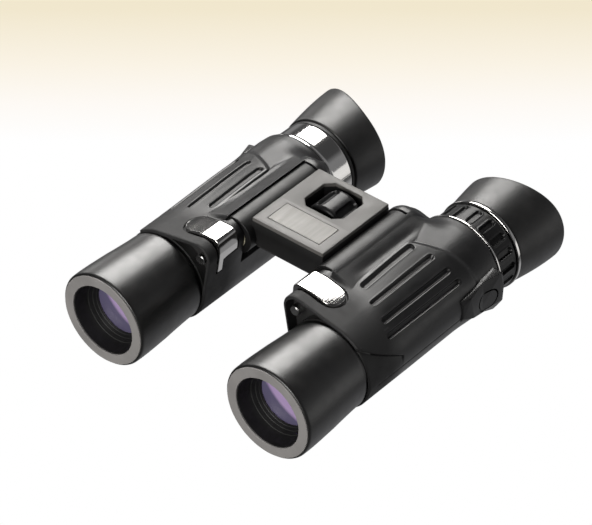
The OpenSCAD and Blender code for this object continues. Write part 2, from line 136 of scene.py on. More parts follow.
def axis_of(tree, vector, axis):
    """One coordinate, "X", "Y" or "Z", of a vector."""
    split = tree.nodes.new("ShaderNodeSeparateXYZ")
    tree.links.new(vector, split.inputs["Vector"])
    return split.outputs[axis]


def colour_ramp(tree, source, stops):
    """Colours by value: stops are (value, colour) pairs in rising order."""
    node = tree.nodes.new("ShaderNodeValToRGB")
    elements = node.color_ramp.elements
    while len(elements) < len(stops):
        elements.new(0.5)
    for element, (value, colour) in zip(elements, stops):
        element.position = value
        element.color = (*colour, 1)
    tree.links.new(source, node.inputs["Fac"])
    return node.outputs["Color"]


def new_material(name):
    """A new material, its node tree and its surface node."""
    material = bpy.data.materials.new(name)
    material.use_nodes = True
    return material, material.node_tree, material.node_tree.nodes["Principled BSDF"]


def skin(name, colour, shade, rough, grain, bump, wear=0.0, stretch=(1, 1, 1), dull=None,
         **shader):
    """A surface whose colour runs from colour to shade and whose roughness varies.

    rough is (smoothest, roughest), grain the size of its fine bumps in mm, bump their height in
    mm, and the next value how much paler its sharp edges are: partly wear, partly a painted
    highlight along the edges. dull is (front, rear, amount): the surface is rougher by amount in
    front of the first Y, in mm, and no rougher behind the second.
    """
    material, tree, surface = new_material(name)
    for key, value in shader.items():
        surface.inputs[key.replace("_", " ")].default_value = value
    clouds = noise(tree, 60, 4, 0.6, stretch)
    tint = blend_colours(tree, ramp(tree, clouds, 0.35, 0.65, 0, 1), colour, shade)
    # paler sharp edges: partly wear, partly a painted highlight where the edges catch the light
    if wear:
        geometry = tree.nodes.new("ShaderNodeNewGeometry")
        edge = ramp(tree, geometry.outputs["Pointiness"], 0.53, 0.62, 0, wear)
        tint = blend_colours(tree, edge, tint, [min(1, 0.12 + 2.2 * c) for c in colour])
    tree.links.new(tint, surface.inputs["Base Color"])
    smears = noise(tree, 240, 5, 0.65, stretch)
    roughness = ramp(tree, smears, 0.3, 0.7, *rough)
    if dull:
        where = tree.nodes.new("ShaderNodeTexCoord")
        front, rear, amount = dull
        along = axis_of(tree, where.outputs["Object"], "Y")
        extra = ramp(tree, along, front * MM, rear * MM, amount, 0)
        roughness = arithmetic(tree, "ADD", roughness, extra)
    tree.links.new(roughness, surface.inputs["Roughness"])
    fine = noise(tree, 1000 / grain, 2, 0.5, stretch)
    height = node_of(tree, "ShaderNodeBump", Strength=0.6, Distance=bump * MM)
    tree.links.new(fine, height.inputs["Height"])
    tree.links.new(height.outputs["Normal"], surface.inputs["Normal"])
    return material


def glass_skin(name, tint, film, clear=0.75, rough=0.02, painted_reflection=None):
    """Coated glass: a clear body under a thin film that tints what it reflects.

    painted_reflection is a painted reflection: the paler colour the glass takes where it faces the viewer more
    squarely, standing in for the pale reflection of its coating there.
    """
    material, tree, surface = new_material(name)
    surface.inputs["Transmission Weight"].default_value = clear
    surface.inputs["IOR"].default_value = 1.62
    surface.inputs["Coat Weight"].default_value = 1.0
    surface.inputs["Coat Roughness"].default_value = 0.03
    surface.inputs["Coat Tint"].default_value = (*film, 1)
    bloom = noise(tree, 90, 2)
    paler = [min(1, c * 1.25) for c in tint]
    body = blend_colours(tree, bloom, tint, paler)
    # where the glass faces the viewer more squarely its colour turns paler: a painted reflection of the coating
    if painted_reflection:
        facing = tree.nodes.new("ShaderNodeLayerWeight")
        near = ramp(tree, facing.outputs["Facing"], 0.482, 0.455, 0, 1)
        body = blend_colours(tree, near, body, painted_reflection)
    tree.links.new(body, surface.inputs["Base Color"])
    dust = noise(tree, 500, 3)
    tree.links.new(ramp(tree, dust, 0.3, 0.8, rough, rough * 2.5), surface.inputs["Roughness"])
    return material


ALONG = (1, 0.15, 1)      # noise drawn out along the barrels
FINISHES = {                 # colour, shade, roughness, grain, bump and other settings
    "satin_black_metal": (
        (0.0085, 0.0085, 0.0088), (0.0115, 0.0112, 0.0110), (0.32, 0.40), 0.35, 0.006,
        dict(wear=0.12, Specular_IOR_Level=0.68)),
    "plate_grey": (
        (0.068, 0.065, 0.061), (0.086, 0.082, 0.077), (0.40, 0.50), 0.25, 0.010,
        dict(wear=0.25, Specular_IOR_Level=0.35)),
    "ring_grey": (
        (0.245, 0.236, 0.232), (0.305, 0.294, 0.288), (0.38, 0.48), 0.25, 0.006,
        dict(wear=0.2, Specular_IOR_Level=0.4)),
    "nameplate_silver": (
        (0.27, 0.263, 0.250), (0.22, 0.214, 0.203), (0.44, 0.56), 0.5, 0.006,
        dict(wear=0.2, stretch=(8, 0.5, 1), Metallic=0.05, Specular_IOR_Level=0.35)),
    "armour_rubber": (
        (0.0085, 0.0085, 0.0090), (0.0115, 0.0113, 0.0118), (0.32, 0.42), 0.30, 0.012,
        dict(wear=0.10, dull=(-27, -19, 0.3), Specular_IOR_Level=0.5)),
    "eyecup_rubber": (
        (0.011, 0.011, 0.0112), (0.015, 0.0146, 0.0145), (0.36, 0.46), 0.28, 0.014,
        dict(wear=0.08, Specular_IOR_Level=0.55)),
    "chrome": (
        (0.74, 0.73, 0.715), (0.66, 0.652, 0.64), (0.09, 0.13), 0.6, 0.0005,
        dict(wear=0.05, stretch=ALONG, Metallic=1.0)),
    "gloss_black": (
        (0.009, 0.009, 0.0095), (0.012, 0.012, 0.0125), (0.30, 0.38), 0.5, 0.003,
        dict(wear=0.08, Specular_IOR_Level=0.3)),
    "steel": (
        (0.58, 0.58, 0.57), (0.48, 0.48, 0.475), (0.22, 0.34), 0.4, 0.004,
        dict(wear=0.1, Metallic=1.0)),
    "brass": (
        (0.70, 0.52, 0.26), (0.60, 0.44, 0.21), (0.24, 0.36), 0.4, 0.004,
        dict(wear=0.1, Metallic=1.0)),
    "inner_black": (
        (0.006, 0.006, 0.006), (0.009, 0.009, 0.009), (0.42, 0.58), 0.4, 0.010, dict(wear=0.05)),
    "seal_rubber": (
        (0.008, 0.008, 0.008), (0.012, 0.012, 0.012), (0.6, 0.75), 0.3, 0.010, dict()),
    "washer_plastic": (
        (0.62, 0.58, 0.42), (0.55, 0.51, 0.37), (0.5, 0.62), 0.4, 0.006, dict()),
}
SKINS = {name: skin(name, *row, **rest) for name, (*row, rest) in FINISHES.items()}
# the objective glass is given a pinkish painted reflection where it faces the viewer
SKINS["coated_glass"] = glass_skin("coated_glass", (0.15, 0.148, 0.205), (0.85, 0.78, 0.95), 0.12,
                                  painted_reflection=(0.62, 0.50, 0.68))
SKINS["prism_glass"] = glass_skin("prism_glass", (0.70, 0.76, 0.76), (0.9, 0.95, 1.0))
# a duller, darker copy of the finish for the two castings of the satin_black_metal slot: the duller surface is
# their own, the darker colour is painted shade for the casting's front face and the knuckles beside the plate
CAST_BLACK_PAINTED_SHADE = skin("cast_black_painted_shade", (0.006, 0.006, 0.0062), (0.0085, 0.0083, 0.0082), (0.40, 0.48),
                  0.35, 0.006, 0.12, Specular_IOR_Level=0.35)


# ---- mesh helpers --------------------------------------------------------------------------
def piece(name, mesh_data, body, slot, side=1, stands_for=(), sharp=38, material=None):
    """Makes a shown piece from (points, faces) and fastens it to its CAD body."""
    points, faces = mesh_data
    mesh = bpy.data.meshes.new(name)
    mesh.from_pydata([place(p, side) for p in points], [], faces)
    work = bmesh.new()
    work.from_mesh(mesh)
    bmesh.ops.remove_doubles(work, verts=work.verts, dist=1e-6)
    bmesh.ops.dissolve_degenerate(work, edges=work.edges, dist=1e-7)
    bmesh.ops.recalc_face_normals(work, faces=work.faces)
    work.to_mesh(mesh)
    work.free()
    mesh.shade_smooth()
    mesh.set_sharp_from_angle(angle=math.radians(sharp))
    mesh.materials.append(material or SKINS[slot])
    obj = bpy.data.objects.new(name, mesh)
    scene.collection.objects.link(obj)
    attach(obj, body)
    if stands_for:
        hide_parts(*stands_for)
    return obj


def softened(corners, steps=5):
    """A closed outline of (x, y, radius) corners, each rounded by its radius."""
    outline = []
    for i, (x, y, radius) in enumerate(corners):
        here = Vector((x, y))
        before = Vector(corners[i - 1][:2]) - here
        after = Vector(corners[(i + 1) % len(corners)][:2]) - here
        if radius <= 0:
            outline.append((x, y))
            continue
        half = before.angle(after) / 2
        reach = min(radius / math.tan(half), before.length * 0.49, after.length * 0.49)
        before.normalize()
        after.normalize()
        for k in range(steps + 1):
            u = k / steps
            outline.append(tuple(here + before * reach * (1 - u) ** 2 + after * reach * u * u))
    return outline


def turned(outline, steps=160, x=None, height=0.0):
    """A closed (radius, station) outline turned about an axis along the barrels."""
    centre = BARREL_X if x is None else x
    count = len(outline)
    points, faces = [], []
    for i in range(steps):
        angle = 2 * math.pi * i / steps
        for radius, station in outline:
            points.append((centre + radius * math.sin(angle), station,
                           height + radius * math.cos(angle)))
    for i in range(steps):
        after = (i + 1) % steps
        for j in range(count):
            k = (j + 1) % count
            faces.append((i * count + j, i * count + k, after * count + k, after * count + j))
    return points, faces


def between(outer, inner):
    """A closed solid between two (around, along, 3) grids that close on themselves around."""
    around, along, _ = outer.shape
    points = [tuple(p) for p in np.concatenate([outer.reshape(-1, 3), inner.reshape(-1, 3)])]
    offset = around * along
    faces = []
    for i in range(around):
        k = (i + 1) % around
        a, b = i * along, k * along
        for j in range(along - 1):
            faces.append((a + j, a + j + 1, b + j + 1, b + j))
            faces.append((offset + a + j, offset + b + j, offset + b + j + 1, offset + a + j + 1))
        last = along - 1
        faces.append((a, b, offset + b, offset + a))
        faces.append((a + last, offset + a + last, offset + b + last, b + last))
    return points, faces


def polar(radii, angles, stations, x=None, height=0.0):
    """A grid of points from radii[angle, station] about an axis along the barrels."""
    centre = BARREL_X if x is None else x
    turn = np.radians(angles)[:, None]
    grid = np.zeros(radii.shape + (3,))
    grid[..., 0] = centre + radii * np.sin(turn)
    grid[..., 1] = stations
    grid[..., 2] = height + radii * np.cos(turn)
    return grid


def lofted(rings, closed=False):
    """A closed solid through rings of the same number of points, its ends capped."""
    count = len(rings[0])
    points = [tuple(p) for ring in rings for p in ring]
    faces = []
    for i in range(len(rings) - (0 if closed else 1)):
        k = (i + 1) % len(rings)
        for j in range(count):
            m = (j + 1) % count
            faces.append((i * count + j, i * count + m, k * count + m, k * count + j))
    if not closed:
        faces.append(tuple(range(count)))
        faces.append(tuple((len(rings) - 1) * count + j for j in reversed(range(count))))
    return points, faces


def smooth(value, low, high):
    """0 below low, 1 above high, and an even curve between."""
    t = np.clip((value - low) / (high - low), 0, 1)
    return t * t * (3 - 2 * t)


def rounding(distance, radius):
    """How far a surface drops at this distance from an edge rounded by radius."""
    d = np.clip(radius - distance, 0, radius)
    return radius - np.sqrt(np.maximum(radius * radius - d * d, 0))


def slot_depth(across, along, length, width):
    """Signed distance to a slot with round ends: negative inside."""
    return np.hypot(across, np.maximum(np.abs(along) - (length - width) / 2, 0)) - width / 2


def finished(work, name):
    """Turns a bmesh into a mesh whose faces point outwards."""
    bmesh.ops.recalc_face_normals(work, faces=work.faces)
    mesh = bpy.data.meshes.new(name)
    work.to_mesh(mesh)
    work.free()
    return mesh


def mesh_parts(mesh):
    return [tuple(v.co) for v in mesh.vertices], [tuple(f.vertices) for f in mesh.polygons]


def combined(mesh, tool_data, operation):
    """The mesh joined with, or less, the closed solid in tool_data."""
    tool_mesh = bpy.data.meshes.new("tool")
    tool_mesh.from_pydata(tool_data[0], [], tool_data[1])
    work = bmesh.new()
    work.from_mesh(tool_mesh)
    solid = bpy.data.objects.new("solid", mesh)
    tool = bpy.data.objects.new("tool", finished(work, "tool"))
    for obj in (solid, tool):
        scene.collection.objects.link(obj)
    cut = solid.modifiers.new("cut", "BOOLEAN")
    cut.operation = operation
    cut.object = tool
    cut.solver = "EXACT"
    result = bpy.data.meshes.new_from_object(
        solid.evaluated_get(bpy.context.evaluated_depsgraph_get()))
    for obj in (solid, tool):
        bpy.data.objects.remove(obj)
    return result


# ---- the barrels' armour -------------------------------------------------------------------
ARMOUR_R = 18.3
LOBE = (22.7 - BARREL_X, 15.9)        # centre of the hinge lobe from the optical axis
LOBE_R = 5.7
ARMOUR_FRONT = 33.6
POCKET_FRONT, POCKET_REAR = 52.6, 94.3   # between them the bridge's knuckle lies in the lobe
ARMOUR_REAR = 106.9
KNUCKLE_R = 7.5
WINDOW_X = 24.0                       # outer edge of the strip of knuckle that shows


def lobe_outline(inset=0.0):
    """(angle, radius) of the barrel's circle, the lobe's circle and their tangents."""
    big, small = ARMOUR_R - inset, LOBE_R - inset
    run = math.hypot(*LOBE)
    lean = math.atan2(LOBE[1], LOBE[0])
    spread = math.acos((big - small) / run)
    corners = []
    for t in np.linspace(lean - spread, lean + spread, 90):
        corners.append((LOBE[0] + small * math.cos(t), LOBE[1] + small * math.sin(t)))
    start = (big * math.cos(lean + spread), big * math.sin(lean + spread))
    end = (big * math.cos(lean - spread), big * math.sin(lean - spread))
    for k in range(1, 40):
        u = k / 40
        corners.append((corners[89][0] * (1 - u) + start[0] * u,
                        corners[89][1] * (1 - u) + start[1] * u))
        corners.append((corners[0][0] * (1 - u) + end[0] * u,
                        corners[0][1] * (1 - u) + end[1] * u))
    for t in np.linspace(lean + spread, lean - spread + 2 * math.pi, 240):
        corners.append((big * math.cos(t), big * math.sin(t)))
    polar_points = sorted((math.degrees(math.atan2(x, z)), math.hypot(x, z)) for x, z in corners)
    return np.array(polar_points)


SHELL = 1.1                           # thickness of the armour
OUTLINE = lobe_outline()
INSIDE = lobe_outline(SHELL)


def lobe_radius(angle, outline=OUTLINE):
    """The outline's radius at an angle from straight up."""
    return np.interp(angle, outline[:, 0], outline[:, 1], period=360)


def entry(angle, radius):
    """Where a ray from the optical axis enters and leaves a circle about the hinge."""
    turn = np.radians(angle)
    hx, hz = HINGE_X - BARREL_X, HINGE_Z
    middle = hx * np.sin(turn) + hz * np.cos(turn)
    inside = middle ** 2 - (hx * hx + hz * hz - radius * radius)
    root = np.sqrt(np.maximum(inside, 0))
    hit = (inside > 0) & (middle > 0)
    return np.where(hit, middle - root, 99.0), np.where(hit, middle + root, 0.0)


def bridge_entry(angle, room):
    """Where a ray meets the space that the folding bridge sweeps."""
    turn = np.radians(angle)
    hx, hz = HINGE_X - BARREL_X, HINGE_Z
    best = entry(angle, KNUCKLE_R + room)[0]
    for fold in np.radians(np.linspace(0, 52, 9)):
        for drop, far in ((2.9 + room, 0.0), (3.9 + room, -7.4 + room)):
            x0 = -hx * np.cos(fold) - hz * np.sin(fold)
            z0 = hx * np.sin(fold) - hz * np.cos(fold)
            x1 = np.sin(turn) * np.cos(fold) + np.cos(turn) * np.sin(fold)
            z1 = -np.sin(turn) * np.sin(fold) + np.cos(turn) * np.cos(fold)
            # inside where x0 + x1 t <= far and z0 + z1 t >= -drop
            low, high = np.zeros_like(turn), np.full_like(turn, 60.0)
            tx = (far - x0) / np.where(np.abs(x1) < 1e-9, 1e-9, x1)
            tz = (-drop - z0) / np.where(np.abs(z1) < 1e-9, 1e-9, z1)
            high = np.where(x1 > 0, np.minimum(high, tx), high)
            low = np.where(x1 < 0, np.maximum(low, tx), low)
            low = np.where(z1 > 0, np.maximum(low, tz), low)
            high = np.where(z1 < 0, np.minimum(high, tz), high)
            best = np.where((low < high) & (low < best), low, best)
    return best


# angle, first and last station of each groove in the grip panel
GROOVES = ((-8.6, 55.0, 83.5), (13.3, 51.2, 85.3), (36.0, 49.2, 86.4), (53.0, 47.3, 87.6))
SHOULDER = ((24.0, 22.9), (32.4, 20.0))   # from the knuckle's window to the panel's foot
WINDOW_ANGLE = math.degrees(math.atan2(WINDOW_X - BARREL_X, 22.9))

CLIP_FRONT, CLIP_REAR = 39.0, 48.8
CLIP_MIDDLE = (CLIP_FRONT + CLIP_REAR) / 2
CLIP_HALF = (CLIP_REAR - CLIP_FRONT) / 2
CLIP_END = -57.0       # angle where the clip's wide part ends on the lobe's inner side
CLIP_TAIL = 40.3       # station of the middle of its narrow tail
TAIL_END = -68.0
CLIP_ROUND_X = 30.4    # centre of its round outer end
CLIP_CORNER = (17.2, 22.4)    # where its flat top would meet its inner side
CLIP_FOLD = (24.6, 22.2)      # the fold between its level part and its sloping outer part
CLIP_SLOPE = math.radians(12.5)
CLIP_PROUD = 0.35


def shoulder_radius(angle):
    """Where rays from the optical axis meet the straight shoulder beside the bridge."""
    (x0, z0), (x1, z1) = ((x - BARREL_X, z) for x, z in SHOULDER)
    turn = np.radians(angle)
    run = (x1 - x0) * np.cos(turn) - (z1 - z0) * np.sin(turn)
    reach = (z0 * (x1 - x0) - x0 * (z1 - z0)) / np.where(np.abs(run) < 1e-6, 1e-6, run)
    return np.where((angle < -14) & (angle > -40) & (reach > 0), reach, 0)


def armour_radius(angle, station):
    """The outer surface of the armour: angles down the rows, stations along the columns."""
    a, s = angle[:, None], station[None, :]
    a, s = np.broadcast_arrays(a, s)
    lobe = lobe_radius(a)
    # rear dome: the lobe sinks into a slightly swollen barrel
    swell = ARMOUR_R + 0.75 * smooth(s, 84, 101) - 0.25 * smooth(s, 102, 107)
    fade = np.sqrt(np.clip(1 - (np.maximum(s - 95.0, 0) / 10.0) ** 2, 0, 1))
    fade = fade ** (1 + 4.0 * smooth(a, -44, -27))
    radius = np.maximum(swell, ARMOUR_R) + (lobe - ARMOUR_R) * fade
    # grip panel, raised towards its rear end
    rear = 84.6 + 10.4 * np.sin(np.radians(np.clip(a + 17, 0, 90))) ** 0.8
    inner = smooth(a, -18.6, -14.4)
    outer = 1 - smooth(a, 62, 84)
    rise = smooth(s, 46, 80) * (1 - smooth(s, rear - 2.2, rear + 0.6))
    height = 0.55 + 0.75 * np.exp(-((a + 8) / 22.0) ** 2)
    radius = radius + height * rise * inner * outer
    # beside the bridge the armour rises to meet the knuckle, with a soft valley to the panel
    cap = np.maximum(entry(a, KNUCKLE_R + 0.6)[1] - radius, 0) * (a < -20)
    radius = radius + cap * smooth(s, POCKET_REAR - 0.1, POCKET_REAR) * (1 - smooth(s, 95.5, 101))
    beside = smooth(s, 49.8, 52.5) * (1 - smooth(s, POCKET_REAR, 98))
    rise = np.maximum(shoulder_radius(a) - radius, 0) * smooth(a, WINDOW_ANGLE - 1.5, WINDOW_ANGLE)
    radius = radius + rise * beside
    valley = np.exp(-((a + 21.5) / 3.6) ** 2) * smooth(s, 54, 66) * (1 - smooth(s, 86, 96))
    radius = radius - 0.45 * valley
    # grooves with round ends
    for centre, first, last in GROOVES:
        across = np.radians(a - centre) * 19.0
        edge = slot_depth(across, s - (first + last) / 2, last - first, 2.5)
        radius = radius - 1.05 * smooth(-edge, -0.25, 0.65) + 0.10 * np.exp(-(edge / 0.35) ** 2)
    # the upper layer's front edge sweeps back along the outer flank over the lower layer
    sweep = 33.0 + 19.0 * np.clip((a - 38) / 46.0, 0, 1) ** 1.35
    lower = smooth(a, 38, 46) * (1 - smooth(a, 74, 98))
    radius = radius - 0.62 * lower * smooth(sweep - s, -0.25, 0.25)
    radius = radius - 0.55 * lower * np.exp(-((sweep - s - 0.35) / 0.38) ** 2)
    flush = smooth(a, 40, 60) * (1 - smooth(a, 150, 176)) * (1 - smooth(s, 36, 60))
    radius = radius - 0.12 * flush
    # long seam on the outer flank
    seam = np.exp(-((a - 100) / 0.9) ** 2) * smooth(s, 37, 39) * (1 - smooth(s, 92, 94))
    radius = radius - 0.22 * seam
    # recess of the clip
    x = BARREL_X + lobe * np.sin(np.radians(a))
    outside = np.hypot(np.maximum(x - CLIP_ROUND_X, 0), s - CLIP_MIDDLE) - (CLIP_HALF + 0.8)
    floor = smooth(-outside, -0.12, 0.25) * smooth(a, CLIP_END - 1.4, CLIP_END - 0.9)
    floor = floor * (1 - smooth(a, -3, 0))
    tail = smooth(-np.abs(s - CLIP_TAIL), -1.75, -1.5) * smooth(a, TAIL_END - 2, TAIL_END - 1.6)
    tail = tail * (1 - smooth(a, CLIP_END, CLIP_END + 2))
    radius = radius - 1.0 * np.maximum(floor, tail)
    # rounded front and rear edges
    radius = radius - rounding(s - ARMOUR_FRONT, 0.75) - rounding(ARMOUR_REAR - s, 0.9)
    return radius


def armour():
    """The armour as a closed shell, open where the bridge's knuckle lies and folds."""
    angles = np.concatenate([np.arange(-80, -20, 0.5), np.arange(-20, 62, 0.6),
                             np.arange(62, 110, 1.0), np.arange(110, 280, 2.0)])
    fine_edge = np.array([0, 0.08, 0.2, 0.4, 0.7])
    stations = np.concatenate([
        ARMOUR_FRONT + fine_edge, np.arange(34.7, 52.4, 0.35),
        [52.45, 52.59, 52.61, 52.75], np.arange(53.1, 94.0, 0.4),
        [94.15, 94.29, 94.31, 94.45], np.arange(94.8, 105.9, 0.5),
        ARMOUR_REAR - fine_edge[::-1]])
    radius = armour_radius(angles, stations)
    a, s = np.broadcast_arrays(angles[:, None], stations[None, :])
    in_pocket = (s > POCKET_FRONT) & (s < POCKET_REAR)
    # a thin lip over the knuckle, from the window's edge outwards
    over = entry(a, KNUCKLE_R + 0.95)[1]
    lip = in_pocket & (a > WINDOW_ANGLE) & (a < WINDOW_ANGLE + 9)
    radius = np.where(lip, np.maximum(radius, over * (over > 1)), radius)
    room = bridge_entry(a, 0.6)
    cut = in_pocket & (a <= WINDOW_ANGLE)
    radius = np.where(cut, np.minimum(radius, room), radius)
    inner = np.maximum(lobe_radius(a, INSIDE), np.where(s < 38.0, 17.53, 0))
    inner = np.where(in_pocket | (s > 96), 17.0, inner)
    inner = np.minimum(inner, radius - 0.5)
    under = entry(a, KNUCKLE_R + 0.4)[1]
    inner = np.where(lip, np.maximum(inner, np.minimum(under, radius - 0.45)), inner)
    return between(polar(radius, angles, stations), polar(inner, angles, stations))


HOUSING_R, HOUSING_BORE = 16.6, 15.0
HOUSING_FRONT, HOUSING_REAR = 38.0, 103.0


def housing():
    """The metal housing just under the armour, with its lobes before and behind the bridge.

    Unlike the CAD node it leaves no room for the focus cell, which overlaps it inside.
    """
    angles = np.concatenate([np.arange(-80, -10, 1.0), np.arange(-10, 280, 2.0)])
    ends = [POCKET_FRONT - 0.02, POCKET_FRONT + 0.02]
    rear_ends = [POCKET_REAR - 0.02, POCKET_REAR + 0.02]
    stations = np.concatenate([np.arange(HOUSING_FRONT, 52.5, 0.8), ends,
                               np.arange(53.2, 94.0, 1.0), rear_ends,
                               np.arange(94.7, HOUSING_REAR - 0.2, 0.6), [HOUSING_REAR]])
    a, s = np.broadcast_arrays(angles[:, None], stations[None, :])
    under = np.minimum(lobe_radius(a, INSIDE), armour_radius(angles, stations) - 0.75)
    in_pocket = (s > POCKET_FRONT) & (s < POCKET_REAR)
    pocket = np.minimum(HOUSING_R, bridge_entry(a, 0.75))
    radius = np.where(in_pocket & (a < 0), pocket, under)
    inner = np.minimum(HOUSING_BORE, radius - 0.6)
    return between(polar(radius, angles, stations), polar(inner, angles, stations))


# ---- the clip on the front lobe ------------------------------------------------------------
def clip_outside():
    """(angle, radius) of the clip's outer face: its two upper facets and its inner side."""
    proud = LOBE_R + CLIP_PROUD
    corner = Vector((CLIP_CORNER[0] - BARREL_X, CLIP_CORNER[1]))
    centre = Vector(LOBE)
    out = corner - centre
    spread = math.acos(proud / out.length)
    lean = math.atan2(out.y, out.x)
    touch = [centre + proud * Vector((math.cos(t), math.sin(t)))
             for t in (lean - spread, lean + spread)]
    fold = Vector((CLIP_FOLD[0] - BARREL_X, CLIP_FOLD[1]))
    far = fold + 13.5 * Vector((math.cos(CLIP_SLOPE), -math.sin(CLIP_SLOPE)))
    bend = softened([(far.x, far.y, 0), (fold.x, fold.y, 1.5), (corner.x, corner.y, 3.0),
                     (touch[1].x, touch[1].y, 0)], 10)
    path = []
    for first, second in zip(bend, bend[1:]):
        for u in np.linspace(0, 1, 12, endpoint=False):
            path.append(Vector(first).lerp(Vector(second), u))
    points = [(math.degrees(math.atan2(p.x, p.y)), p.length) for p in path]
    rest = [(a, float(lobe_radius(a)) + CLIP_PROUD) for a in np.arange(-53, TAIL_END - 3, -0.5)]
    return np.array(sorted(points + rest))


def clip():
    """A plate bent over the lobe, round at its outer end, with a narrow tail at its front."""
    outside = clip_outside()
    angles = list(np.linspace(-8.3, -16, 16)) + list(np.linspace(-16.7, TAIL_END, 72))
    rings = []
    for angle in angles:
        turn = math.radians(angle)
        radius = float(np.interp(angle, outside[:, 0], outside[:, 1]))
        x = BARREL_X + radius * math.sin(turn)
        half = CLIP_HALF
        if x > CLIP_ROUND_X:
            half = math.sqrt(max(CLIP_HALF ** 2 - (x - CLIP_ROUND_X) ** 2, 0.01))
        low, high = CLIP_MIDDLE - half, CLIP_MIDDLE + half
        narrow = float(smooth(np.float64(CLIP_END - angle), -0.5, 0.5))
        high = high * (1 - narrow) + (CLIP_TAIL + 1.2) * narrow
        under = float(lobe_radius(angle)) - 0.95 - radius
        bevel = min(0.35, half / 3)
        section = softened([(low, under, 0), (low, 0, bevel), (high, 0, bevel),
                            (high, under, 0)], 4)
        rings.append([(BARREL_X + (radius + h) * math.sin(turn), s, (radius + h) * math.cos(turn))
                      for s, h in section])
    return lofted(rings)


# ---- round pieces ---------------------------------------------------------------------------
def tube_radius(s):
    """The objective tube's radius, which narrows slightly towards the armour."""
    profile = ((0.4, 18.3), (1.5, 18.83), (4, 18.87), (7, 18.83), (10, 18.73), (13.5, 18.56),
               (16.8, 18.42), (20, 18.17), (23, 17.97), (26, 17.78), (29, 17.62), (31, 17.55),
               (37.9, 17.5))
    return float(np.interp(s, [p[0] for p in profile], [p[1] for p in profile]))


def objective_tube():
    """The tube, with a groove where the armour begins and its rear end under the armour."""
    skirt = 14.82
    outside = [(18.0, 0.42), (18.32, 0.5), (18.6, 0.75), (18.78, 1.15)]
    outside += [(tube_radius(s), s) for s in np.arange(1.6, 32, 1.2)]
    outside += [(17.5, 32.35), (17.38, 32.6), (16.9, 32.85), (16.9, 34.2), (17.5, 34.4)]
    return turned([(skirt, 0.42)] + outside + [(17.5, 37.9), (14.2, 37.9), (14.2, 16), (skirt, 16)],
                  192)


def front_ring():
    """Grey ring set into the tube's front edge."""
    return turned(softened([(14.0, 0.0, 0.3), (17.95, 0.0, 0.75), (18.02, 0.42, 0.0),
                            (14.8, 0.42, 0.0), (14.8, 4.2, 0.0), (14.0, 4.2, 0.0)], 8), 192)


def lens_ring():
    """Black stepped ring in front of the objective and the sleeve ahead of it."""
    outline = [(14.8, 4.22), (14.8, 15.15), (12.62, 15.15), (12.62, 9.62), (10.55, 9.62),
               (10.4, 9.3), (10.7, 8.9)]
    for radius, station, ledge in ((10.75, 8.75, 0.25), (11.5, 7.7, 0.3), (12.4, 6.3, 0.35)):
        outline += [(radius, station), (radius + ledge, station - 0.12)]
    outline += [(13.62, 4.3), (13.62, 0.75), (13.72, 0.55), (13.97, 0.45), (13.97, 4.22)]
    return turned(outline, 160)


def cup_radius(s):
    """The eyecup's radius, which flares towards the eye."""
    start, end = 120.4, 144.26
    return 17.6 + 2.35 * np.sin(np.pi / 2 * np.clip((s - start) / (end - start), 0, 1))


EYE_BORE = 14.82         # bore of the rings round the eyepiece tubes


def band(radius, front, rear, edge=0.3):
    """A plain ring round an eyepiece tube with rounded outer edges."""
    return turned(softened([(EYE_BORE, front, 0), (radius, front, edge), (radius, rear, edge),
                            (EYE_BORE, rear, 0)]), 160)


def objective_lens():
    """The front element: two shallow domes of glass."""
    radius, middle = 12.55, 8.6
    steps = 16
    front = [(radius * k / steps, middle + 1.5 * (k / steps) ** 2) for k in range(steps + 1)]
    rear = [(radius * k / steps, middle + 5.6 - 1.1 * (k / steps) ** 2)
            for k in range(steps, -1, -1)]
    return turned(front + rear, 128)


CUP_TURN = {"left": 15, "right": 30}


def rim_station(side_name, angle):
    """Station of the cup's winged rim, farthest back on the barrel's outer side."""
    w = np.sin(np.radians(angle - CUP_TURN[side_name]))
    return 140.39 + 6.99 * w - 0.54 * w * w - 2.74 * w ** 3


def eyecup(side_name):
    """Winged rubber cup with a narrow seat and a thin, flared wall."""
    angles = np.arange(0, 360, 2.0)
    start = 120.45
    wall = 1.6
    rim = rim_station(side_name, angles)[:, None]
    share = np.concatenate([[0, 0.008, 0.02, 0.04], np.linspace(0.07, 0.9, 26),
                            [0.93, 0.955, 0.972, 0.985, 0.994, 1.0]])
    s = start + (rim - start) * share[None, :]
    outer = cup_radius(s)
    outer = outer - rounding(s - start, 0.45) - rounding(rim - s, 0.8)
    seat = 14.87
    inner = np.where(s < 126.2, seat, cup_radius(s) - wall - 0.55 * (1 - smooth(s, 126, 134)))
    inner = inner + rounding(rim - s, 0.8)
    grid_out = polar(outer, angles, 0.0)
    grid_in = polar(inner, angles, 0.0)
    grid_out[..., 1] = s
    grid_in[..., 1] = s
    return between(grid_out, grid_in)


def wide_collar():
    """Chrome sleeve of the left eyepiece, with the butt joint of its ring."""
    angles = np.concatenate([np.arange(-180, -84, 2.0), np.arange(-84, -70, 0.25),
                             np.arange(-70, 180, 2.0)])
    stations = np.array([106.95, 107.0, 107.1, 107.3, 107.6, 107.8, 108.0, 108.3, 108.7, 109.2,
                         110, 112, 114, 116, 117.6, 118.1, 118.4, 118.6, 118.7])
    radius = np.interp(stations, [106.9, 107.8, 108.0, 109.0, 118.7],
                       [18.15, 18.2, 18.0, 17.2, 17.1])
    radius = radius - rounding(stations - 106.95, 0.35) - rounding(118.7 - stations, 0.5)
    joint = np.exp(-((angles[:, None] + 76.5) / 0.35) ** 2) * (stations[None, :] > 109)
    grid = np.broadcast_to(radius, (len(angles), len(stations))) - 0.35 * joint
    inner = np.full(grid.shape, EYE_BORE)
    return between(polar(grid, angles, stations), polar(inner, angles, stations))


DIOPTER_RIBS = 18


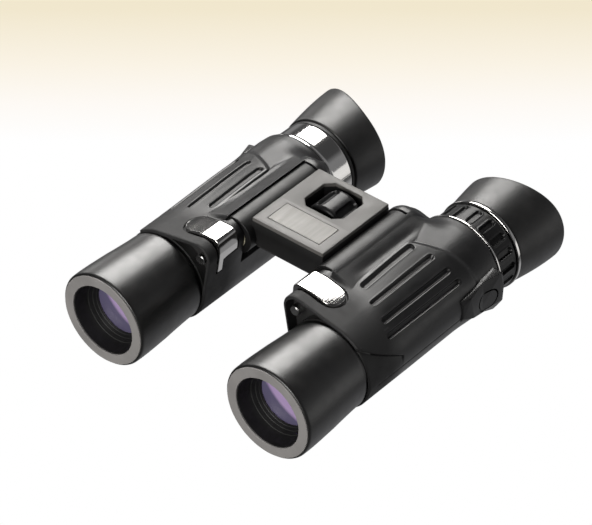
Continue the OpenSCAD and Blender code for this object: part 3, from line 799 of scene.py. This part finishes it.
def diopter_ring():
    """Ring with a row of long pockets all round."""
    angles = np.arange(0, 360, 0.5)
    low, high = span("right_diopter_ring")
    fine = np.array([0, 0.06, 0.15, 0.3, 0.5])
    stations = np.concatenate([low.y + fine, np.arange(low.y + 0.8, high.y - 0.7, 0.3),
                               high.y - fine[::-1]])
    a, s = np.broadcast_arrays(angles[:, None], stations[None, :])
    radius = np.full(a.shape, 17.4)
    pitch = 360 / DIOPTER_RIBS
    across = np.radians((a - 4 + pitch / 2) % pitch - pitch / 2) * 17.4
    edge = slot_depth(across, s - (low.y + high.y) / 2, 7.8, 2.5)
    radius = radius - 0.95 * smooth(-edge, -0.15, 0.35) + 0.12 * np.exp(-((edge - 0.3) / 0.3) ** 2)
    radius = radius - rounding(s - low.y, 0.45) - rounding(high.y - s, 0.45)
    inner = np.full(radius.shape, 14.86)
    return between(polar(radius, angles, stations), polar(inner, angles, stations))


WHEEL_FLUTES = 6


def focus_wheel():
    """Fluted wheel about an axis along the barrels."""
    low, high = span("focus_wheel")
    centre_z = (low.z + high.z) / 2
    wheel_r = 8.5
    angles = np.arange(0, 360, 0.75)
    fine = np.array([0, 0.06, 0.2, 0.45, 0.75, 1.1])
    stations = np.concatenate([low.y + fine, np.arange(low.y + 1.4, high.y - 1.3, 0.3),
                               high.y - fine[::-1]])
    a, s = np.broadcast_arrays(angles[:, None], stations[None, :])
    pitch = 360 / WHEEL_FLUTES
    across = np.radians((a - 40 + pitch / 2) % pitch - pitch / 2) * wheel_r
    edge = slot_depth(across, s - (low.y + high.y) / 2, high.y - low.y - 2.4, 3.7)
    radius = wheel_r - 1.15 * smooth(-edge, -0.12, 0.5)
    radius = radius - rounding(s - low.y, 1.8) - rounding(high.y - s, 1.8)
    inner = np.full(radius.shape, 2.0)
    return between(polar(radius, angles, stations, 0.0, centre_z),
                   polar(inner, angles, stations, 0.0, centre_z))


# ---- bridge ---------------------------------------------------------------------------------
plate_low, plate_high = span("bridge_plate")


def rectangle(x, front, rear, radius=0.0):
    """Corners of a rectangle from -x to x, rounded if it has a radius."""
    corners = [(-x, front, radius), (-x, rear, radius), (x, rear, radius), (x, front, radius)]
    return softened(corners, 4) if radius else [c[:2] for c in corners]


def chamfered(x, front, rear, corner):
    """Corners of a rectangle with its corners cut off, two for each side of it."""
    return [(-x, front + corner), (-x, rear - corner), (-x + corner, rear), (x - corner, rear),
            (x, rear - corner), (x, front + corner), (x - corner, front), (-x + corner, front)]


WHEEL_HOLE = chamfered(9, 73.6, 90.4, 3)
NAME_SEAT = rectangle(11.85, 59.55, 70.25)
SEAT_DEPTH = 0.45
PLATE_SPLIT = 71.9       # station between the nameplate's part of the plate and the wheel's


def bridge_plate():
    """Top plate: one part round the nameplate's seat and one round the wheel's opening."""
    half, top, low = plate_high.x, plate_high.z, plate_low.z
    front, rear = plate_low.y, plate_high.y
    work = bmesh.new()

    def face(*points):
        work.faces.new([work.verts.new(p) for p in points])

    def flat(outline, z):
        face(*[(x, y, z) for x, y in outline])

    def walls(outline, high, deep):
        for a, b in zip(outline, outline[1:] + outline[:1]):
            face((*a, high), (*b, high), (*b, deep), (*a, deep))

    def around(border, hole, z):
        """Faces between a border and a hole with as many points."""
        for i in range(len(hole)):
            k = (i + 1) % len(hole)
            flat([border[i], border[k], hole[k], hole[i]], z)

    hole_front, hole_rear = WHEEL_HOLE[0][1], WHEEL_HOLE[1][1]
    corner_x = WHEEL_HOLE[3][0]
    wheel_border = [(-half, hole_front), (-half, hole_rear), (-corner_x, rear), (corner_x, rear),
                    (half, hole_rear), (half, hole_front), (corner_x, PLATE_SPLIT),
                    (-corner_x, PLATE_SPLIT)]
    wheel_corners = [(-half, PLATE_SPLIT), (-half, rear), (half, rear), (half, PLATE_SPLIT)]

    def wheel_part(z):
        around(wheel_border, WHEEL_HOLE, z)
        for corner, first in ((1, 1), (2, 3), (3, 5), (0, 7)):
            flat([wheel_corners[corner], wheel_border[(first + 1) % 8], wheel_border[first]], z)

    around([(-half, front), (-half, PLATE_SPLIT), (half, PLATE_SPLIT), (half, front)],
           NAME_SEAT, top)
    wheel_part(top)
    flat(NAME_SEAT, top - SEAT_DEPTH)
    walls(NAME_SEAT, top, top - SEAT_DEPTH)
    walls([(-half, front), (-half, PLATE_SPLIT), *wheel_border[:2], (-half, rear),
           *wheel_border[2:4], (half, rear), *wheel_border[4:6], (half, PLATE_SPLIT),
           (half, front)], top, low)
    walls(WHEEL_HOLE, top, low)
    wheel_part(low)
    flat([(-half, front), (-half, PLATE_SPLIT), (-corner_x, PLATE_SPLIT),
          (corner_x, PLATE_SPLIT), (half, PLATE_SPLIT), (half, front)], low)
    bmesh.ops.remove_doubles(work, verts=work.verts, dist=1e-4)
    bmesh.ops.dissolve_limit(work, angle_limit=0.01, verts=work.verts, edges=work.edges)
    bmesh.ops.recalc_face_normals(work, faces=work.faces)
    sharp = [e for e in work.edges if len(e.link_faces) == 2 and e.calc_face_angle() > 0.5]
    rim = [e for e in sharp if max(v.co.z for v in e.verts) > top - 0.1]
    bmesh.ops.bevel(work, geom=rim, offset=0.35, segments=3, profile=0.5, affect="EDGES")
    return mesh_parts(finished(work, "plate"))


def knuckle():
    """One knuckle of the bridge: a thick sleeve about the hinge line, with softened ends.

    Unlike the CAD node it has room for the hinge pin only. It also crosses the armour beside its window.
    """
    low, high = POCKET_FRONT + 0.3, POCKET_REAR - 0.3
    return turned(softened([(2.05, low, 0), (KNUCKLE_R, low, 0.35), (KNUCKLE_R, high, 0.35),
                            (2.05, high, 0)]), 96, HINGE_X, HINGE_Z)


def bridge_frame():
    """Black casting under the plate, cut through for the wheel.

    Unlike the CAD node it is solid otherwise, so the wheel's front edge, the focusing mechanism
    and the ends of the hinge pins overlap it.
    """
    front, rear = plate_low.y, plate_high.y
    bottom, shoulder, top = 11.9, 18.6, plate_low.z - 0.02
    block, edge = 16.2, 0.3
    section = softened([(-HINGE_X, bottom, 0), (-block, bottom, edge), (block, bottom, edge),
                        (HINGE_X, bottom, 0), (HINGE_X, shoulder, 0), (block, shoulder, 0),
                        (block, top, 0), (-block, top, 0), (-block, shoulder, 0),
                        (-HINGE_X, shoulder, 0)], 3)
    work = bmesh.new()
    rings = []
    for inset, station in ((edge, front), (0, front + edge), (0, rear - edge), (edge, rear)):
        ring = []
        for x, z in section:
            ring.append(work.verts.new((x, station, z + (inset if z < 15 else -inset))))
        rings.append(ring)
    count = len(section)
    for first, second in zip(rings, rings[1:]):
        for j in range(count):
            k = (j + 1) % count
            work.faces.new([first[j], first[k], second[k], second[j]])
    work.faces.new(rings[0])
    work.faces.new(list(reversed(rings[-1])))
    well = lofted([[(x, y, z) for x, y in WHEEL_HOLE] for z in (bottom - 1, top + 1)])
    return mesh_parts(combined(finished(work, "casting"), well, "DIFFERENCE"))


def nameplate():
    """Blank plate with softened top edges."""
    low, high = span("nameplate")
    half_x, half_y = high.x + 0.12, (high.y - low.y) / 2 + 0.12
    middle, top, edge = (low.y + high.y) / 2, high.z + 0.02, 0.2
    outline = rectangle(half_x, low.y - 0.12, high.y + 0.12, 0.5)
    levels = [(0, low.z), (0, top - edge)]
    for k in range(1, 4):
        t = math.pi / 2 * k / 3
        levels.append((edge * (1 - math.cos(t)), top - edge + edge * math.sin(t)))
    return lofted([[(x * (half_x - inset) / half_x,
                     middle + (y - middle) * (half_y - inset) / half_y, z) for x, y in outline]
                   for inset, z in levels])


# ---- strap lugs ------------------------------------------------------------------------------
# corners of the lug's two convex parts; those at x = 50 lie inside the armour
LUG_FRONT = (
    (56.4, 84.4, 5.1), (58.3, 87.9, 5.3), (57.1, 96.8, 7.3), (57.0, 85.3, 2.6),
    (58.4, 90.0, -4.6), (56.8, 85.3, -3.2), (55.6, 85.4, -5.4), (57.6, 97.0, -6.6),
    (50, 85, 4.6), (50, 97, 7), (50, 86, -5), (50, 97, -8),
)
LUG_REAR = (
    (57.1, 95.9, 7.2), (56.0, 103.8, 8.2), (59.1, 103.9, 7.4), (58.4, 105.9, 6.0),
    (59.3, 105.9, -0.2), (59.0, 105.9, -6.0), (57.0, 105.4, -9.4), (55.9, 104.5, -11.2),
    (57.2, 94.0, -5.8), (50, 95, 6.8), (50, 105.9, 8), (50, 105.9, -11), (50, 94, -5),
)
BUTTON = (98.3, -1.9)                 # centre of the lug's oval button
BUTTON_FLOOR = 57.4


def closed_hull(corners, bevel):
    """The convex solid through the corners with its edges rounded."""
    work = bmesh.new()
    verts = [work.verts.new(c) for c in corners]
    hull = bmesh.ops.convex_hull(work, input=verts)
    loose = [v for v in hull["geom_interior"] if isinstance(v, bmesh.types.BMVert)]
    bmesh.ops.delete(work, geom=loose, context="VERTS")
    bmesh.ops.dissolve_limit(work, angle_limit=math.radians(4), verts=work.verts,
                             edges=work.edges)
    bmesh.ops.bevel(work, geom=list(work.edges), offset=bevel, segments=3, profile=0.5,
                    affect="EDGES")
    return finished(work, "hull")


def stadium(centre_s, centre_z, length, width, steps=12):
    """Outline with round ends, long along the barrel, as (station, height) points."""
    points = []
    half, reach = width / 2, (length - width) / 2
    for end, start in ((1, -math.pi / 2), (-1, math.pi / 2)):
        for k in range(steps + 1):
            t = start + math.pi * k / steps
            points.append((centre_s + end * reach + half * math.cos(t),
                           centre_z + half * math.sin(t)))
    return points


def strap_lug():
    """Raised lug on the outer rear flank with a groove round an oval button."""
    outer = stadium(*BUTTON, 10.4, 8.6)
    button = stadium(*BUTTON, 9.0, 7.2)
    rings = [[(BUTTON_FLOOR, *p) for p in outer], [(62, *p) for p in outer],
             [(62, *p) for p in button], [(BUTTON_FLOOR, *p) for p in button]]
    front, rear = closed_hull(LUG_FRONT, 0.2), closed_hull(LUG_REAR, 0.2)
    whole = combined(front, mesh_parts(rear), "UNION")
    return mesh_parts(combined(whole, lofted(rings, closed=True), "DIFFERENCE"))


# ---- build every piece -----------------------------------------------------------------------
for name, side in SIDES.items():
    for part, shape, slot, node, sharp in (
            ("armour_cover", armour(), "armour_rubber", "armour", 50),
            ("inner_housing", housing(), "satin_black_metal", "housing", 40),
            ("clip", clip(), "chrome", "hinge_clip", 30),
            ("tube", objective_tube(), "satin_black_metal", "objective_tube", 38),
            ("ring", front_ring(), "ring_grey", "front_ring", 38),
            ("baffle", lens_ring(), "inner_black", "lens_ring", 30),
            ("objective", objective_lens(), "coated_glass", "objective_lens", 60),
            ("lug", strap_lug(), "armour_rubber", "strap_lug", 25),
            ("cup", eyecup(name), "eyecup_rubber", "eyecup", 60)):
        body = name + ("_cup" if part == "cup" else "_barrel")
        piece(name + "_" + part, shape, body, slot, side, [name + "_" + node], sharp)
piece("left_sleeve", wide_collar(), "left_barrel", "chrome", -1, ["left_collar"], 40)
piece("left_gap_ring", band(17.0, 118.8, 120.4), "left_barrel", "inner_black", -1,
      ["left_cup_ring"], 40)
piece("right_front_band", band(18.85, 106.95, 107.75, 0.25), "right_barrel", "chrome", 1,
      ["right_collar"], 40)
piece("right_rear_band", band(18.1, 118.85, 120.35, 0.4), "right_barrel", "chrome", 1,
      ["right_cup_ring"], 40)
piece("diopter_grip", diopter_ring(), "diopter", "gloss_black", 1, ["right_diopter_ring"], 40)
piece("wheel", focus_wheel(), "focus_knob", "gloss_black", 1, ["focus_wheel"], 35)
piece("top_plate", bridge_plate(), "bridge", "plate_grey", 1, ["bridge_plate"], 25)
piece("label_plate", nameplate(), "bridge", "nameplate_silver", 1, ["nameplate"], 30)
# the casting and the knuckles take the darker copy of the black metal, whose darker colour is painted shade
piece("bridge_casting", bridge_frame(), "bridge", "satin_black_metal", 1, ["bridge_body"], 30,
      CAST_BLACK_PAINTED_SHADE)
for name, side in SIDES.items():
    piece(name + "_knuckle", knuckle(), "bridge", "satin_black_metal", side, ["bridge_body"],
          material=CAST_BLACK_PAINTED_SHADE)

# carried-over CAD nodes keep their shape and get finished surfaces
slots = {row["node"]: row["material_slot"] for row in frame["record"]["subparts"]}
for node, obj in frame["nodes"].items():
    obj.data.materials.clear()
    obj.data.materials.append(SKINS[slots[node]])
    obj.data.shade_smooth()
    obj.data.set_sharp_from_angle(angle=math.radians(30))

# ---- camera, floor and light ------------------------------------------------------------------
camera_data = bpy.data.cameras.new("camera")
camera_data.lens = 201.25
camera_data.sensor_width = 36
camera_data.clip_start = 0.05
camera_data.clip_end = 50
camera = bpy.data.objects.new("camera", camera_data)
scene.collection.objects.link(camera)
VIEW_TURN, VIEW_LIFT = math.radians(39.99), math.radians(39.26)
VIEW_DISTANCE = 1.18309
aim = Vector(place((-1.56, 62.82, 6.36), 1))
back = Vector((math.sin(VIEW_TURN) * math.cos(VIEW_LIFT),
               -math.cos(VIEW_TURN) * math.cos(VIEW_LIFT), math.sin(VIEW_LIFT)))
camera.location = aim + back * VIEW_DISTANCE
camera.rotation_mode = "QUATERNION"
camera.rotation_quaternion = back.to_track_quat("Z", "Y")
scene.camera = camera


# colour of the floor at some distances, in metres, towards its warm end
CREAM = ((0.116, (1.0, 1.0, 1.0)), (0.141, (0.991, 0.956, 0.913)),
         (0.168, (0.956, 0.896, 0.783)), (0.207, (0.880, 0.800, 0.617)))


def stage_surface(name):
    """White paper that warms to cream in the distance."""
    material, tree, surface = new_material(name)
    surface.inputs["Base Color"].default_value = (0, 0, 0, 1)
    surface.inputs["Specular IOR Level"].default_value = 0.0
    surface.inputs["Roughness"].default_value = 1.0
    where = tree.nodes.new("ShaderNodeTexCoord")
    spread = tree.nodes.new("ShaderNodeMapping")
    spread.inputs["Rotation"].default_value = (0, 0, -VIEW_TURN)
    tree.links.new(where.outputs["Object"], spread.inputs["Vector"])
    near, far = CREAM[0][0], CREAM[-1][0]
    away = ramp(tree, axis_of(tree, spread.outputs["Vector"], "Y"), near, far, 0, 1)
    paper = colour_ramp(tree, away, [((distance - near) / (far - near), colour)
                                     for distance, colour in CREAM])
    tree.links.new(paper, surface.inputs["Emission Color"])
    surface.inputs["Emission Strength"].default_value = 1.0
    return material


FLOOR_DROP = -0.012                   # leaves room for a barrel folded down


def floor():
    """A wide floor that curves up into a wall all round."""
    outline = [(0, 0), (3.0, 0)]
    for k in range(1, 9):
        t = math.pi / 2 * k / 8
        outline.append((3.0 + 2.0 * math.sin(t), 2.0 - 2.0 * math.cos(t)))
    outline.append((5.0, 6.0))
    steps = 64
    points, faces = [(0, 0, 0)], []
    for i in range(steps):
        t = 2 * math.pi * i / steps
        points += [(r * math.cos(t), r * math.sin(t), z) for r, z in outline[1:]]
    row = len(outline) - 1
    for i in range(steps):
        k = (i + 1) % steps
        faces.append((0, 1 + i * row, 1 + k * row))
        for j in range(row - 1):
            faces.append((1 + i * row + j, 2 + i * row + j, 2 + k * row + j, 1 + k * row + j))
    mesh = bpy.data.meshes.new("floor")
    mesh.from_pydata(points, [], faces)
    mesh.materials.append(stage_surface("paper"))
    obj = bpy.data.objects.new("floor", mesh)
    obj.location = (0, 0, FLOOR_DROP)
    # the paper only backs the object; what the object mirrors comes from the studio's light
    obj.visible_glossy = obj.visible_diffuse = obj.visible_transmission = False
    obj.visible_shadow = False
    scene.collection.objects.link(obj)


def softbox(name, turn, lift, distance, width, height, radiance):
    """A rectangular lamp facing the object.

    turn is its angle about the barrels' direction, from straight up towards +X, and lift its
    angle from there towards the eyepieces. Its width runs along the turn.
    """
    a, b = math.radians(turn), math.radians(lift)
    toward = Vector((math.sin(a) * math.cos(b), math.sin(b), math.cos(a) * math.cos(b)))
    across = Vector((0, 1, 0)).cross(toward).normalized()
    light = bpy.data.lights.new(name, "AREA")
    light.shape = "RECTANGLE"
    light.size, light.size_y = width, height
    light.energy = radiance * math.pi * width * height
    light.color = (1.0, 0.985, 0.96)
    obj = bpy.data.objects.new(name, light)
    obj.matrix_world = Matrix((across, toward.cross(across), toward)).transposed().to_4x4()
    obj.location = toward * distance
    scene.collection.objects.link(obj)


OPENING = (-0.72, 0.59, 0.36)      # direction of the dark opening in the room's wall
# the room's grey by height, from straight down (-1) to straight up (1)
ROOM = ((-1.0, 0.44), (-0.60, 0.42), (-0.44, 0.10), (-0.30, 0.08), (-0.18, 0.22),
        (0.40, 0.24), (0.55, 0.06), (1.0, 0.05))


def studio():
    """Dim room: a grey wall behind the eyepieces with a dark opening in it to the left, and
    dark above the wall and in front.
    """
    world = bpy.data.worlds.new("studio")
    world.use_nodes = True
    tree = world.node_tree
    where = tree.nodes.new("ShaderNodeTexCoord")
    direction = where.outputs["Generated"]
    height = ramp(tree, axis_of(tree, direction, "Z"), -1, 1, 0, 1)
    grey = colour_ramp(tree, height, [((z + 1) / 2, (level, level, level * 1.02))
                                      for z, level in ROOM])
    rearward = ramp(tree, axis_of(tree, direction, "Y"), -0.3, 0.3, 0.15, 1.0)
    towards = node_of(tree, "ShaderNodeVectorMath", operation="DOT_PRODUCT")
    tree.links.new(direction, towards.inputs[0])
    towards.inputs[1].default_value = OPENING
    outside = ramp(tree, towards.outputs["Value"], 0.94, 0.98, 1.0, 0.25)
    background = tree.nodes["Background"]
    tree.links.new(grey, background.inputs["Color"])
    tree.links.new(arithmetic(tree, "MULTIPLY", rearward, outside),
                   background.inputs["Strength"])
    scene.world = world


floor()
studio()
softbox("key", -32, 28, 0.75, 0.56, 0.38, 12.5)
softbox("wall", 98, 36, 1.1, 0.50, 0.8, 0.75)
softbox("left_strip", -84, 24, 0.9, 0.2, 0.25, 2.5)
softbox("front_fill", 10, -70, 1.3, 0.7, 0.6, 11)
scene.view_settings.view_transform = "Standard"
